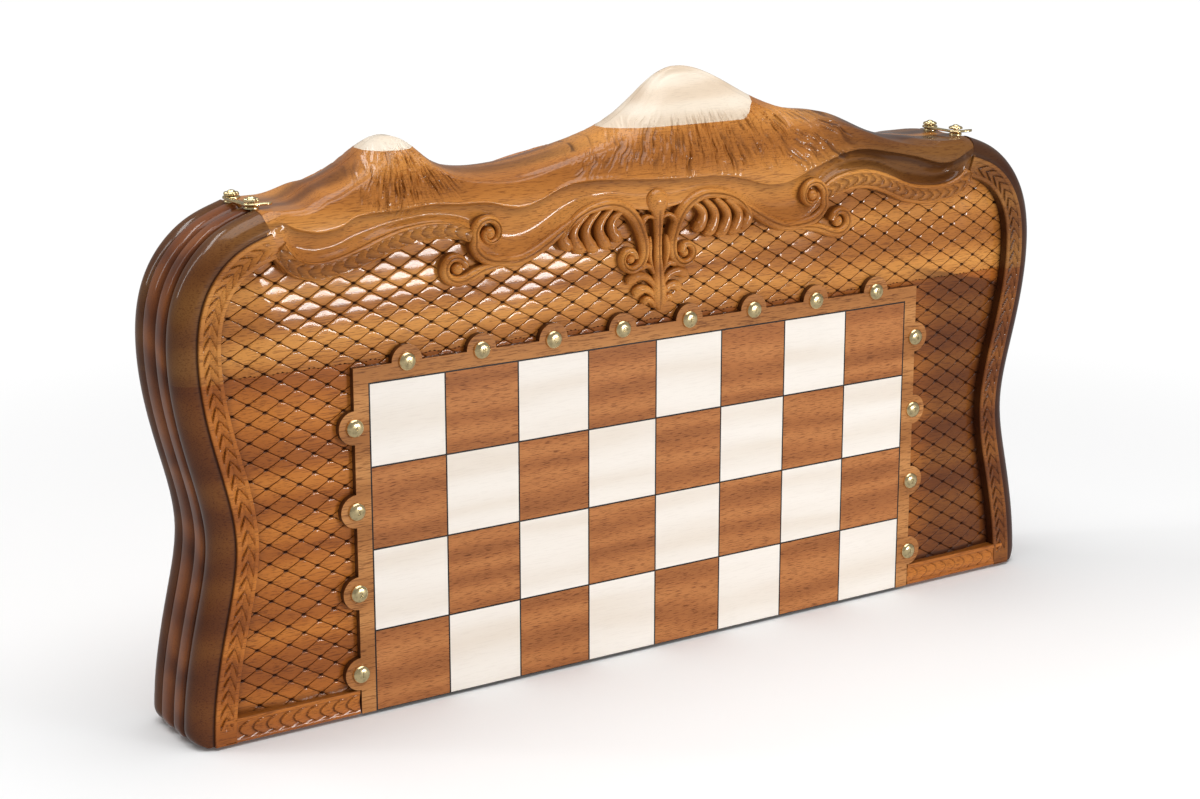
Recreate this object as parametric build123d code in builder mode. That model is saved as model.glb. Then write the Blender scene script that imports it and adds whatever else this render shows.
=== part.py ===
from build123d import *
import os

os.makedirs("parts", exist_ok=True)

# Frame of the model
# X runs along the board with 0 at its middle, Y runs from the front half to the back half with 0
# where the closed halves meet, and Z is up with 0 at the underside of the hinge knuckles.

# Chess field
square = 50.0
columns = 8
rows = 4
line_width = 1.0
square_thickness = 3.0

# Case
half_depth = 35.0
face_board_thickness = 19.5
halves_gap = 0.3
face_seam_height = 212.5

# Side outline, each point as distance from the middle and height above the wood's underside
foot_half_width = 304.0
calf_half_width = 293.0
calf_height = 73.5
waist_half_width = 285.7
waist_height = 117.5
flank_half_width = 294.9
flank_height = 168.0
chest_half_width = 304.0
chest_height = 223.5
shoulder_half_width = 296.5
shoulder_height = 263.5
neck_half_width = 275.0
neck_height = 285.5
crest_end_half_width = 257.0
crest_end_height = 292.5

# Edge moulding, as depths behind the face and overhangs past the side outline
quirk_depth = 1.5
ovolo_end_depth = 19.0
ovolo_overhang = 12.0
ovolo_radius = 10.5
groove_overhang = 9.5
rim_start_depth = 20.5
rim_overhang = 12.5
rim_round = 2.5

# Crest, heights above the wood's underside
land_height = 304.0
land_width = 29.0
small_peak_x = -169.0
small_peak_height = 337.0
valley_x = -104.0
valley_height = 313.0
large_peak_x = 38.0
large_peak_height = 363.0
saddle_x = 127.0
saddle_height = 330.0
crest_slope_start = 286.0
crest_slope_depth = 28.0
cap_seam_height = 329.5
large_cap_end_x = 76.0
large_cap_end_lean = 50.0

# Carved field between the border and the chess panel
border_width = 14.0
bottom_border_height = 15.0
field_recess = 4.4
scallop_low = 261.0
scallop_high = 277.0

# Chess panel
panel_margin = 10.0
panel_thickness = 6.0
lobe_radius = 10.0

# Brass studs
stud_radius = 5.65
stud_height = 3.2
stud_shank_radius = 0.9
stud_shank_length = 12.0

# Playing field inside each half
hollow_half_width = 266.0
hinge_rail_height = 18.0
hollow_height = 258.0
playing_board_thickness = 3.0
points_per_end = 6
point_length = 205.0
point_base = 38.0
point_thickness = 1.0

# Hinges
hinge_spacing = 300.0
hinge_length = 60.0
hinge_leaf_end_gap = 0.35
hinge_leaf_thickness = 1.5
knuckle_radius = 1.75
knuckle_count = 5
knuckle_end_gap = 0.15
knuckle_wood_gap = 0.5
hinge_pin_radius = 0.9
hinge_pin_clearance = 0.05
hinge_screw_head_radius = 2.4
hinge_screw_shank_radius = 1.2
hinge_screw_length = 11.0
hinge_screw_spacing = 21.0
hinge_screws_per_leaf = 3

# Hook latches
latch_x = 259.0
post_inset = 2.5
collar_radius = 4.2
collar_height = 1.4
post_neck_radius = 1.6
post_head_radius = 4.4
post_head_height = 3.2
post_screw_radius = 1.2
post_screw_length = 11.0
hook_thickness = 1.6
hook_play = 0.4
hook_eye_radius = 3.6
hook_bore_clearance = 0.08
hook_arm_width = 3.2
hook_throat_clearance = 0.5
hook_tail_length = 11.0

# Worked out
wood_bottom = knuckle_radius + halves_gap / 2
wood_depth = half_depth - halves_gap / 2
hinge_leaf_width = wood_depth - face_board_thickness - hinge_leaf_end_gap
hook_pivot_y = half_depth - face_board_thickness - post_inset
catch_post_y = -hook_pivot_y
field_width = columns * square
field_height = rows * square
hollow_bottom = wood_bottom + hinge_rail_height
hollow_top = hollow_bottom + hollow_height
land_top = wood_bottom + land_height
hinge_places = (-hinge_spacing / 2, hinge_spacing / 2)
land_outer_end = latch_x + 5
land_end = land_outer_end - land_width
forward = (0, -1, 0)
backward = (0, 1, 0)


def face_plane(depth):
    """Upright plane at a depth behind the front half's face, looking forward."""
    return Plane.XZ.offset(half_depth - depth)


def save(name, piece):
    piece.label = name
    export_step(piece, f"parts/{name}.step")


def save_both(name, piece):
    """Writes a front piece and its mirror image in the back half."""
    save(f"front_{name}", piece)
    with BuildPart() as back:
        mirror(piece, about=Plane.XZ)
    save(f"back_{name}", back.part)


# Side outline of the right side, from the foot up to where the crest begins
with BuildLine() as right_side:
    Spline(
        [
            (foot_half_width, wood_bottom),
            (calf_half_width, wood_bottom + calf_height),
            (waist_half_width, wood_bottom + waist_height),
            (flank_half_width, wood_bottom + flank_height),
            (chest_half_width, wood_bottom + chest_height),
            (shoulder_half_width, wood_bottom + shoulder_height),
            (neck_half_width, wood_bottom + neck_height),
            (crest_end_half_width, wood_bottom + crest_end_height),
        ],
        tangents=[(0, 1), (-1, 0.35)],
    )
outline_stations = 12


def pushed_out(overhang):
    """Points of the right side outline moved outwards by the overhang."""
    side = right_side.edge()
    stations = [i / (outline_stations - 1) for i in range(outline_stations)]
    places = [side.position_at(u) for u in stations]
    normals = [side.tangent_at(u).rotate(Axis.Z, -90) for u in stations]
    return [(p.X + overhang * n.X, p.Y + overhang * n.Y) for p, n in zip(places, normals)]


def edge_outline(plane, overhang):
    """Sketch of the half with its sides pushed out, up to a level line between the shoulders."""
    with BuildSketch(Plane.XY) as sketch:
        with BuildLine():
            right = Spline(pushed_out(overhang), tangents=[(0, 1), (-1, 0.35)])
            left = mirror(right, about=Plane.YZ)
            Line(right @ 1, left @ 1)
            Line(right @ 0, left @ 0)
        make_face()
    return plane * sketch.sketch


# Crest skyline, over the level line
with BuildSketch(Plane.XY) as crest_outline:
    with BuildLine():
        skyline = Spline(
            (-land_end, land_top + 3.5),
            (small_peak_x - 20, land_top + 22),
            (small_peak_x - 5, wood_bottom + small_peak_height - 1.5),
            (small_peak_x + 5, wood_bottom + small_peak_height - 1.5),
            (small_peak_x + 25, land_top + 18),
            (valley_x, wood_bottom + valley_height),
            (valley_x + 60, wood_bottom + valley_height + 9),
            (large_peak_x - 40, wood_bottom + large_peak_height - 24),
            (large_peak_x - 7, wood_bottom + large_peak_height - 0.5),
            (large_peak_x + 7, wood_bottom + large_peak_height - 0.5),
            (large_peak_x + 50, wood_bottom + large_peak_height - 19.5),
            (saddle_x, wood_bottom + saddle_height),
            (saddle_x + 22, wood_bottom + saddle_height - 3),
            (saddle_x + 62, land_top + 7.5),
            (land_end, land_top + 1),
        )
        Polyline(
            skyline @ 1,
            (land_outer_end, land_top),
            (land_outer_end, hollow_top),
            (-land_outer_end, hollow_top),
            (-land_outer_end, land_top),
            skyline @ 0,
        )
    make_face()


def layer(overhang, start, end, front_round=0.0):
    """Slab of the half between two depths, with its front side edges rounded if asked."""
    with BuildPart() as slab:
        extrude(edge_outline(face_plane(end), overhang), amount=end - start, dir=forward)
        if front_round:
            front_edges = slab.edges().group_by(Axis.Y)[0]
            fillet(front_edges.filter_by(lambda e: e.center().Z > wood_bottom + 1), front_round)
    return slab.part


# Whole front half as one envelope, from which its wooden pieces are cut
with BuildPart() as envelope:
    add(layer(0, 0, quirk_depth))
    add(layer(ovolo_overhang, quirk_depth, ovolo_end_depth, ovolo_radius))
    add(layer(groove_overhang, ovolo_end_depth, rim_start_depth))
    add(layer(rim_overhang, rim_start_depth, wood_depth, rim_round))
    with BuildSketch(Plane.XZ.offset(halves_gap / 2)):
        add(crest_outline.sketch)
    extrude(amount=wood_depth)
    # The carved crest leans back from the face to the skyline
    with BuildSketch(Plane.YZ) as crest_front:
        with BuildLine():
            lean = Spline(
                (-half_depth, wood_bottom + crest_slope_start),
                (-half_depth + 0.12 * crest_slope_depth, wood_bottom + crest_slope_start + 16),
                (-half_depth + crest_slope_depth, wood_bottom + large_peak_height),
            )
            Polyline(
                lean @ 1,
                (lean @ 1) + (0, 60),
                (-2 * half_depth, (lean @ 1).Y + 60),
                (-2 * half_depth, (lean @ 0).Y),
                lean @ 0,
            )
        make_face()
    extrude(amount=foot_half_width * 2, both=True, mode=Mode.SUBTRACT)
    # Flat lands for the latches
    with BuildSketch(Plane.XY.offset(land_top)):
        for side in (-1, 1):
            with Locations((side * (land_end + 40), -half_depth / 2)):
                Rectangle(80, 2 * half_depth)
    extrude(amount=60, mode=Mode.SUBTRACT)


# Caps of the two peaks, in pale wood, glued on a level seam
with BuildPart() as caps:
    add(envelope.part)
    split(bisect_by=Plane.XY.offset(wood_bottom + cap_seam_height), keep=Keep.TOP)
with BuildPart() as small_peak_cap:
    add(caps.part)
    split(bisect_by=Plane.YZ.offset(valley_x), keep=Keep.BOTTOM)
# The large cap ends on a sloping joint before the saddle
sloping_end = Plane(
    (large_cap_end_x, 0, wood_bottom + cap_seam_height),
    z_dir=Vector(1, 0, 0).rotate(Axis.Y, large_cap_end_lean),
)
with BuildPart() as large_peak_cap:
    add(caps.part)
    split(bisect_by=Plane.YZ.offset(valley_x), keep=Keep.TOP)
    split(bisect_by=sloping_end, keep=Keep.BOTTOM)
large_cap = large_peak_cap.part
small_cap = small_peak_cap.part
save_both("large_peak_cap", large_cap)
save_both("small_peak_cap", small_cap)

# Field of the chess panel in the face's plane: panel with a lobe under each stud
stud_places = (
    [(square * (i - (columns - 1) / 2), wood_bottom + field_height + panel_margin) for i in range(columns)]
    + [(-field_width / 2 - panel_margin, wood_bottom + square * (j + 0.5)) for j in range(rows)]
    + [(field_width / 2 + panel_margin, wood_bottom + square * (j + 0.5)) for j in range(rows)]
)


def field_rectangle(width, height, **options):
    """Rectangle centred on the field whose lower edge is the wood's underside."""
    with Locations((0, wood_bottom + height / 2)):
        Rectangle(width, height, **options)


def panel_outline(plane):
    with BuildSketch(plane) as sketch:
        field_rectangle(field_width + 2 * panel_margin, field_height + panel_margin)
        with Locations(*stud_places):
            Circle(lobe_radius)
    return sketch.sketch


dome_radius = (stud_radius**2 + stud_height**2) / (2 * stud_height)
with BuildPart() as stud:
    with Locations((0, 0, stud_height - dome_radius)):
        Sphere(dome_radius)
    split(bisect_by=Plane.XY, keep=Keep.TOP)
    with Locations((0, 0, -stud_shank_length / 2)):
        Cylinder(stud_shank_radius, stud_shank_length)
with BuildPart() as front_studs:
    with Locations(*[Location((x, -half_depth, z), (90, 0, 0)) for x, z in stud_places]):
        add(stud.part)
save_both("studs", front_studs.part)


# Holes for the stud shanks
with BuildSketch(face_plane(0)) as stud_holes:
    with Locations(*stud_places):
        Circle(stud_shank_radius)


# Chess panel that holds the squares
with BuildPart() as front_panel:
    extrude(panel_outline(face_plane(0)), amount=panel_thickness, dir=backward)
    with BuildSketch(face_plane(0)):
        field_rectangle(field_width + line_width, field_height + line_width / 2)
    extrude(amount=-square_thickness, mode=Mode.SUBTRACT)
    extrude(stud_holes.sketch, amount=stud_shank_length, dir=backward, mode=Mode.SUBTRACT)
save_both("chess_panel", front_panel.part)


def squares(parity):
    """Every second square of the field, as separate solids."""
    side = square - line_width
    places = [
        (square * (i - (columns - 1) / 2), wood_bottom + square * (j + 0.5))
        for i in range(columns)
        for j in range(rows)
        if (i + j) % 2 == parity
    ]
    with BuildPart() as tiles:
        with BuildSketch(face_plane(square_thickness)):
            with Locations(*places):
                Rectangle(side, side)
        extrude(amount=square_thickness)
    return tiles.part


# The lower left square is dark in front, and the back half has the colours the other way round
dark_in_front = squares(0)
light_in_front = squares(1)
save("front_dark_squares", dark_in_front)
save("front_light_squares", light_in_front)
for name, front_tiles in (("back_light_squares", dark_in_front), ("back_dark_squares", light_in_front)):
    with BuildPart() as back_tiles:
        mirror(front_tiles, about=Plane.XZ)
    save(name, back_tiles.part)

# Stringing, the thin black grid between the squares
with BuildPart() as front_stringing:
    with BuildSketch(face_plane(square_thickness)):
        field_rectangle(field_width + line_width, field_height + line_width / 2)
    extrude(amount=square_thickness)
    add(dark_in_front, mode=Mode.SUBTRACT)
    add(light_in_front, mode=Mode.SUBTRACT)
save_both("stringing", front_stringing.part)

# Carved face, border and moulded edge, recessed round the chess panel
with BuildPart() as face_board:
    add(envelope.part)
    split(bisect_by=face_plane(face_board_thickness), keep=Keep.TOP)
    add(large_cap, mode=Mode.SUBTRACT)
    add(small_cap, mode=Mode.SUBTRACT)
    with BuildSketch(face_plane(0)) as recess:
        add(edge_outline(Plane.XY, -border_width))
        with BuildSketch(mode=Mode.INTERSECT):
            with BuildLine():
                half_scallop = Spline(
                    (foot_half_width, wood_bottom + scallop_high),
                    (215, wood_bottom + scallop_low + 5),
                    (170, wood_bottom + scallop_high),
                    (115, wood_bottom + scallop_low - 1),
                    (50, wood_bottom + scallop_high),
                    (0, wood_bottom + scallop_low - 15),
                )
                other_scallop = mirror(half_scallop, about=Plane.YZ)
                Polyline(
                    half_scallop @ 0,
                    (foot_half_width, wood_bottom + bottom_border_height),
                    (-foot_half_width, wood_bottom + bottom_border_height),
                    other_scallop @ 0,
                )
            make_face()
    extrude(amount=-field_recess, mode=Mode.SUBTRACT)
    extrude(panel_outline(face_plane(0)), amount=panel_thickness, dir=backward, mode=Mode.SUBTRACT)
    extrude(stud_holes.sketch, amount=stud_shank_length, dir=backward, mode=Mode.SUBTRACT)
with BuildPart() as lower_face_board:
    add(face_board.part)
    split(bisect_by=Plane.XY.offset(wood_bottom + face_seam_height), keep=Keep.BOTTOM)
with BuildPart() as upper_face_board:
    add(face_board.part)
    split(bisect_by=Plane.XY.offset(wood_bottom + face_seam_height), keep=Keep.TOP)
save_both("lower_face_board", lower_face_board.part)
save_both("upper_face_board", upper_face_board.part)

# Rails behind the face boards, round the hollow
with BuildPart() as rails:
    add(envelope.part)
    split(bisect_by=face_plane(face_board_thickness), keep=Keep.BOTTOM)
    add(large_cap, mode=Mode.SUBTRACT)
    add(small_cap, mode=Mode.SUBTRACT)


def hinge_screw_places(side):
    """Middles of the hinge screws of one half, side -1 in front and 1 at the back."""
    middle = side * (hinge_leaf_width + knuckle_radius) / 2
    first = -(hinge_screws_per_leaf - 1) / 2
    return [
        (x + hinge_screw_spacing * (first + i), middle)
        for x in hinge_places
        for i in range(hinge_screws_per_leaf)
    ]


with BuildPart() as side_rail:
    add(rails.part)
    split(bisect_by=Plane.YZ.offset(hollow_half_width), keep=Keep.TOP)
with BuildPart() as middle_rails:
    add(rails.part)
    split(bisect_by=Plane.YZ.offset(hollow_half_width), keep=Keep.BOTTOM)
    split(bisect_by=Plane.YZ.offset(-hollow_half_width), keep=Keep.TOP)
with BuildPart() as left_side_rail:
    add(rails.part)
    split(bisect_by=Plane.YZ.offset(-hollow_half_width), keep=Keep.BOTTOM)
save_both("right_rail", side_rail.part)
save_both("left_rail", left_side_rail.part)

# Top rail with the screw hole of its latch posts
def top_rail(latch_y):
    with BuildPart() as rail:
        add(middle_rails.part)
        split(bisect_by=Plane.XY.offset(hollow_top), keep=Keep.TOP)
        with BuildSketch(Plane.XY.offset(land_top)):
            with Locations((-latch_x, latch_y), (latch_x, latch_y)):
                Circle(post_screw_radius)
        extrude(amount=-post_screw_length, mode=Mode.SUBTRACT)
    return rail.part


save("front_top_rail", top_rail(catch_post_y))
with BuildPart() as back_top_rail:
    mirror(top_rail(-hook_pivot_y), about=Plane.XZ)
save("back_top_rail", back_top_rail.part)

# Hinge rail, let in for the hinge leaves and their knuckles
with BuildPart() as hinge_rail:
    add(middle_rails.part)
    split(bisect_by=Plane.XY.offset(hollow_bottom), keep=Keep.BOTTOM)
    with BuildSketch(Plane.XY.offset(wood_bottom)):
        with Locations(*[(x, -hinge_leaf_width / 2) for x in hinge_places]):
            Rectangle(hinge_length, hinge_leaf_width)
    extrude(amount=hinge_leaf_thickness, mode=Mode.SUBTRACT)
    with BuildSketch(Plane.YZ.offset(-hinge_length / 2)):
        with Locations((0, knuckle_radius)):
            Circle(knuckle_radius + knuckle_wood_gap)
    knuckle_channel = extrude(amount=hinge_length, mode=Mode.PRIVATE)
    with Locations(*[(x, 0, 0) for x in hinge_places]):
        add(knuckle_channel, mode=Mode.SUBTRACT)
    with BuildSketch(Plane.XY.offset(wood_bottom)):
        with Locations(*hinge_screw_places(-1)):
            Circle(hinge_screw_shank_radius)
    extrude(amount=hinge_screw_length, mode=Mode.SUBTRACT)
save_both("hinge_rail", hinge_rail.part)

# Playing field with inlaid points that reach in from both ends
point_pitch = hollow_height / points_per_end


def points(parity):
    """Every second point at both ends, as flat triangles."""
    with BuildPart() as inlay:
        with BuildSketch(face_plane(face_board_thickness + playing_board_thickness)):
            for i in range(points_per_end):
                height = hollow_bottom + point_pitch * (i + 0.5)
                for side in (-1, 1):
                    if (i + (side > 0)) % 2 == parity:
                        with BuildLine():
                            Polyline(
                                (side * hollow_half_width, height - point_base / 2),
                                (side * (hollow_half_width - point_length), height),
                                (side * hollow_half_width, height + point_base / 2),
                                close=True,
                            )
                        make_face()
        extrude(amount=point_thickness)
    return inlay.part


light_points = points(0)
dark_points = points(1)
with BuildPart() as playing_board:
    with BuildSketch(face_plane(face_board_thickness + playing_board_thickness)):
        with Locations((0, (hollow_bottom + hollow_top) / 2)):
            Rectangle(2 * hollow_half_width, hollow_height)
    extrude(amount=playing_board_thickness)
    add(light_points, mode=Mode.SUBTRACT)
    add(dark_points, mode=Mode.SUBTRACT)
save_both("playing_board", playing_board.part)
save_both("light_points", light_points)
save_both("dark_points", dark_points)

# Hinge leaves: a flush plate with its share of the knuckles
knuckle_length = hinge_length / knuckle_count
bore_radius = hinge_pin_radius + hinge_pin_clearance


def hinge_leaves(first):
    """Front leaves of both hinges; first is 0 or 1 and picks every second knuckle."""
    with BuildPart() as leaf:
        with BuildSketch(Plane.XY.offset(wood_bottom)):
            with Locations((0, -hinge_leaf_width / 2)):
                Rectangle(hinge_length, hinge_leaf_width)
        extrude(amount=hinge_leaf_thickness)
        with BuildSketch(Plane.YZ.offset(-hinge_length / 2)):
            with Locations((0, knuckle_radius)):
                Circle(knuckle_radius + halves_gap)
        extrude(amount=hinge_length, mode=Mode.SUBTRACT)
        for i in range(first, knuckle_count, 2):
            start = -hinge_length / 2 + knuckle_length * i + knuckle_end_gap
            with BuildSketch(Plane.YZ.offset(start)):
                with Locations((0, knuckle_radius)):
                    Circle(knuckle_radius)
                with Locations((-knuckle_radius, wood_bottom + hinge_leaf_thickness / 2)):
                    Rectangle(2 * knuckle_radius, hinge_leaf_thickness)
            extrude(amount=knuckle_length - 2 * knuckle_end_gap)
        with BuildSketch(Plane.YZ.offset(-hinge_length / 2)):
            with Locations((0, knuckle_radius)):
                Circle(bore_radius)
        extrude(amount=hinge_length, mode=Mode.SUBTRACT)
        for x, y in hinge_screw_places(-1)[:hinge_screws_per_leaf]:
            with Locations(Location((x - hinge_places[0], y, wood_bottom), (180, 0, 0))):
                CounterSinkHole(
                    hinge_screw_shank_radius, hinge_screw_head_radius, hinge_leaf_thickness * 2
                )
    with BuildPart() as pair:
        with Locations(*[(x, 0, 0) for x in hinge_places]):
            add(leaf.part)
    return pair.part


save("front_hinge_leaves", hinge_leaves(0))
with BuildPart() as back_hinge_leaves:
    mirror(hinge_leaves(1), about=Plane.XZ)
save("back_hinge_leaves", back_hinge_leaves.part)

# Hinge pins
with BuildPart() as hinge_pins:
    for x in hinge_places:
        with BuildSketch(Plane.YZ.offset(x - hinge_length / 2)):
            with Locations((0, knuckle_radius)):
                Circle(hinge_pin_radius)
        extrude(amount=hinge_length)
save("hinge_pins", hinge_pins.part)

# Hinge screws with flush countersunk heads and a cross slot
with BuildPart() as hinge_screw:
    head_depth = hinge_screw_head_radius - hinge_screw_shank_radius
    with BuildSketch(Plane.XZ):
        with BuildLine():
            Polyline(
                (0, 0),
                (hinge_screw_head_radius, 0),
                (hinge_screw_shank_radius, head_depth),
                (hinge_screw_shank_radius, hinge_screw_length),
                (0, hinge_screw_length),
                close=True,
            )
        make_face()
    revolve(axis=Axis.Z)
    slot_width = 0.5
    with BuildSketch(Plane.XY):
        Rectangle(hinge_screw_head_radius * 1.3, slot_width)
        Rectangle(slot_width, hinge_screw_head_radius * 1.3)
    extrude(amount=head_depth * 0.6, mode=Mode.SUBTRACT)
with BuildPart() as front_hinge_screws:
    with Locations(*[(x, y, wood_bottom) for x, y in hinge_screw_places(-1)]):
        add(hinge_screw.part)
save_both("hinge_screws", front_hinge_screws.part)


# Latch posts: wood screw, collar, neck and a rosette head over the hook
def latch_posts(post_y):
    neck_height = hook_thickness + 2 * hook_play
    with BuildPart() as posts:
        for side in (-1, 1):
            with Locations((side * latch_x, post_y, land_top)):
                with Locations((0, 0, -post_screw_length)):
                    Cylinder(post_screw_radius, post_screw_length, align=(Align.CENTER, Align.CENTER, Align.MIN))
                Cylinder(collar_radius, collar_height, align=(Align.CENTER, Align.CENTER, Align.MIN))
                with Locations((0, 0, collar_height)):
                    Cylinder(post_neck_radius, neck_height, align=(Align.CENTER, Align.CENTER, Align.MIN))
                with Locations((0, 0, collar_height + neck_height)):
                    Cylinder(post_head_radius, post_head_height, align=(Align.CENTER, Align.CENTER, Align.MIN))
        heads = posts.edges().group_by(Axis.Z)[-1]
        fillet(heads, post_head_height * 0.6)
    return posts.part


save("catch_posts", latch_posts(catch_post_y))
save("hook_pivots", latch_posts(hook_pivot_y))


# Hook: an eye on the pivot, an arm beside the catch post and a tip that curls round its front
def hook(x):
    throat_radius = post_neck_radius + hook_throat_clearance
    curl_radius = throat_radius + hook_arm_width
    reach = hook_pivot_y - catch_post_y
    underside = land_top + collar_height + hook_play
    with BuildPart() as arm:
        with BuildSketch(Plane.XY.offset(underside)):
            with Locations((x, catch_post_y)):
                Circle(curl_radius)
            with Locations((x - curl_radius + hook_arm_width / 2, catch_post_y + reach / 2)):
                Rectangle(hook_arm_width, reach)
            with Locations((x + hook_tail_length / 2, catch_post_y - curl_radius + hook_arm_width / 2)):
                SlotOverall(hook_tail_length, hook_arm_width)
            with Locations((x, hook_pivot_y)):
                Circle(curl_radius)
            with Locations((x, catch_post_y)):
                Circle(throat_radius, mode=Mode.SUBTRACT)
            with Locations((x + curl_radius / 2, catch_post_y + curl_radius / 2 - throat_radius / 2)):
                Rectangle(curl_radius, curl_radius + throat_radius, mode=Mode.SUBTRACT)
            with Locations((x, hook_pivot_y)):
                Circle(post_neck_radius + hook_bore_clearance, mode=Mode.SUBTRACT)
        extrude(amount=hook_thickness)
    return arm.part


save("left_hook", hook(-latch_x))
save("right_hook", hook(latch_x))
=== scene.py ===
import math

import bmesh
import bpy
import numpy as np
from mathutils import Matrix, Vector


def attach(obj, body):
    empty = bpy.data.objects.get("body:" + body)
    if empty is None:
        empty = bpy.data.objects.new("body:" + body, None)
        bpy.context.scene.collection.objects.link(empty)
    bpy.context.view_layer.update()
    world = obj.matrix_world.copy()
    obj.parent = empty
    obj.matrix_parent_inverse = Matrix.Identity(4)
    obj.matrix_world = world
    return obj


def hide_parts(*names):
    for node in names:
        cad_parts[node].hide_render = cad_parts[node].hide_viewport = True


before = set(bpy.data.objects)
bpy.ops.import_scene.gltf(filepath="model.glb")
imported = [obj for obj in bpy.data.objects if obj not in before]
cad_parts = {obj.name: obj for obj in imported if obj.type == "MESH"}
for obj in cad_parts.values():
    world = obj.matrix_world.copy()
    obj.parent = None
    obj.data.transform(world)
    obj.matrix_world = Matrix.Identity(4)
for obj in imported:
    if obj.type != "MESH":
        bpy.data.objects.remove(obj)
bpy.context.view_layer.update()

# Sizes in millimetres: x along the board, d depth behind the front face, z height
half_depth = 35.0
wood_bottom = 1.9
wood_depth = 34.85
board_thickness = 19.5
square = 50.0
seam_z = 214.4
cap_seam_z = 331.4
hollow_top = 277.9
land_z = 305.9
peak_top = 364.95
post_x = 259.0
post_y = 13.0


def sq(x, z):
    """Millimetres of a place given in squares of the chess field."""
    return (x * square, z * square + wood_bottom)


# Curves and noise

def smooth_line(points, count, start=None, end=None):
    """Points evenly along a smooth curve through the given points."""
    p = np.array(points, float)
    t = np.concatenate([[0.0], np.cumsum(np.linalg.norm(np.diff(p, axis=0), axis=1))])
    h = np.diff(t)
    n = len(p)
    m = np.zeros((n, n))
    r = np.zeros_like(p)
    for i in range(1, n - 1):
        m[i, i - 1] = 1 / h[i - 1]
        m[i, i] = 2 / h[i - 1] + 2 / h[i]
        m[i, i + 1] = 1 / h[i]
        r[i] = 3 * ((p[i] - p[i - 1]) / h[i - 1] ** 2 + (p[i + 1] - p[i]) / h[i] ** 2)
    if start is None:
        m[0, 0], m[0, 1], r[0] = 2, 1, 3 * (p[1] - p[0]) / h[0]
    else:
        m[0, 0], r[0] = 1, np.array(start) / np.linalg.norm(start)
    if end is None:
        m[-1, -1], m[-1, -2], r[-1] = 2, 1, 3 * (p[-1] - p[-2]) / h[-1]
    else:
        m[-1, -1], r[-1] = 1, np.array(end) / np.linalg.norm(end)
    slope = np.linalg.solve(m, r)

    def at(u):
        i = np.clip(np.searchsorted(t, u, side="right") - 1, 0, n - 2)
        w = ((u - t[i]) / h[i])[:, None]
        hi = h[i][:, None]
        return (
            (2 * w**3 - 3 * w**2 + 1) * p[i]
            + (w**3 - 2 * w**2 + w) * hi * slope[i]
            + (3 * w**2 - 2 * w**3) * p[i + 1]
            + (w**3 - w**2) * hi * slope[i + 1]
        )

    fine = at(np.linspace(0, t[-1], 40 * n))
    run = np.concatenate([[0.0], np.cumsum(np.linalg.norm(np.diff(fine, axis=0), axis=1))])
    even = np.linspace(0, run[-1], count)
    return np.stack([np.interp(even, run, fine[:, k]) for k in range(p.shape[1])], axis=1)


def line_over_x(points):
    """Height as a function of x along a smooth curve, both in millimetres."""
    curve = smooth_line(points, 900)
    return lambda x: np.interp(x, curve[:, 0], curve[:, 1])


def smoothstep(a, b, x):
    t = np.clip((x - a) / (b - a), 0, 1)
    return t * t * (3 - 2 * t)


noise_seed = 11
noise_table = np.random.default_rng(noise_seed).uniform(-1, 1, (256, 256))


def noise(x, y):
    """Smooth noise between -1 and 1 with a period of one unit."""
    xi, yi = np.floor(x).astype(int), np.floor(y).astype(int)
    fx, fy = x - xi, y - yi
    fx, fy = fx * fx * (3 - 2 * fx), fy * fy * (3 - 2 * fy)
    a = noise_table[xi % 256, yi % 256]
    b = noise_table[(xi + 1) % 256, yi % 256]
    c = noise_table[xi % 256, (yi + 1) % 256]
    d = noise_table[(xi + 1) % 256, (yi + 1) % 256]
    return (a * (1 - fx) + b * fx) * (1 - fy) + (c * (1 - fx) + d * fx) * fy


# Mesh helpers

def grid_faces(rows, columns, closed_rows=False, closed_columns=False):
    """Quads of a grid of points stored row by row."""
    i = np.arange(rows if closed_rows else rows - 1)
    j = np.arange(columns if closed_columns else columns - 1)
    i, j = (a.ravel() for a in np.meshgrid(i, j, indexing="ij"))
    i2, j2 = (i + 1) % rows, (j + 1) % columns
    return np.stack([i * columns + j, i2 * columns + j, i2 * columns + j2, i * columns + j2], axis=1)


def tube_faces(rows, columns):
    """Faces of a closed body whose rings of points are stored row by row, capped at both ends."""
    faces = [tuple(f) for f in grid_faces(rows, columns, closed_columns=True)]
    return faces + [tuple(range(columns)), tuple(range((rows - 1) * columns, rows * columns))]


def new_mesh(points, faces, stain=None):
    """bmesh of points (x, d, z) in millimetres, with how far each point is darkened by stain and by painted
    shade.
    """
    bm = bmesh.new()
    layer = bm.verts.layers.float.new("stain")
    stain = np.zeros(len(points)) if stain is None else stain
    verts = [bm.verts.new(p) for p in points]
    for v, s in zip(verts, stain):
        v[layer] = float(s)
    for f in faces:
        corners = list(dict.fromkeys(int(k) for k in f))
        if len(corners) > 2:
            try:
                bm.faces.new([verts[k] for k in corners])
            except ValueError:
                pass
    return bm


def cut(bm, point, normal, keep_front=True):
    """Copy of a closed mesh on one side of a plane, closed again on the plane."""
    part = bm.copy()
    normal = Vector(normal)
    bmesh.ops.bisect_plane(
        part,
        geom=part.verts[:] + part.edges[:] + part.faces[:],
        dist=1e-5,
        plane_co=Vector(point),
        plane_no=normal if keep_front else -normal,
        clear_inner=True,
    )
    rim = [e for e in part.edges if e.is_boundary]
    if rim:
        bmesh.ops.holes_fill(part, edges=rim, sides=0)
    return part


def joined(*parts):
    """One bmesh that holds several."""
    whole = bmesh.new()
    whole.verts.layers.float.new("stain")
    for part in parts:
        carrier = bpy.data.meshes.new("carrier")
        part.to_mesh(carrier)
        whole.from_mesh(carrier)
        bpy.data.meshes.remove(carrier)
    return whole


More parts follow.
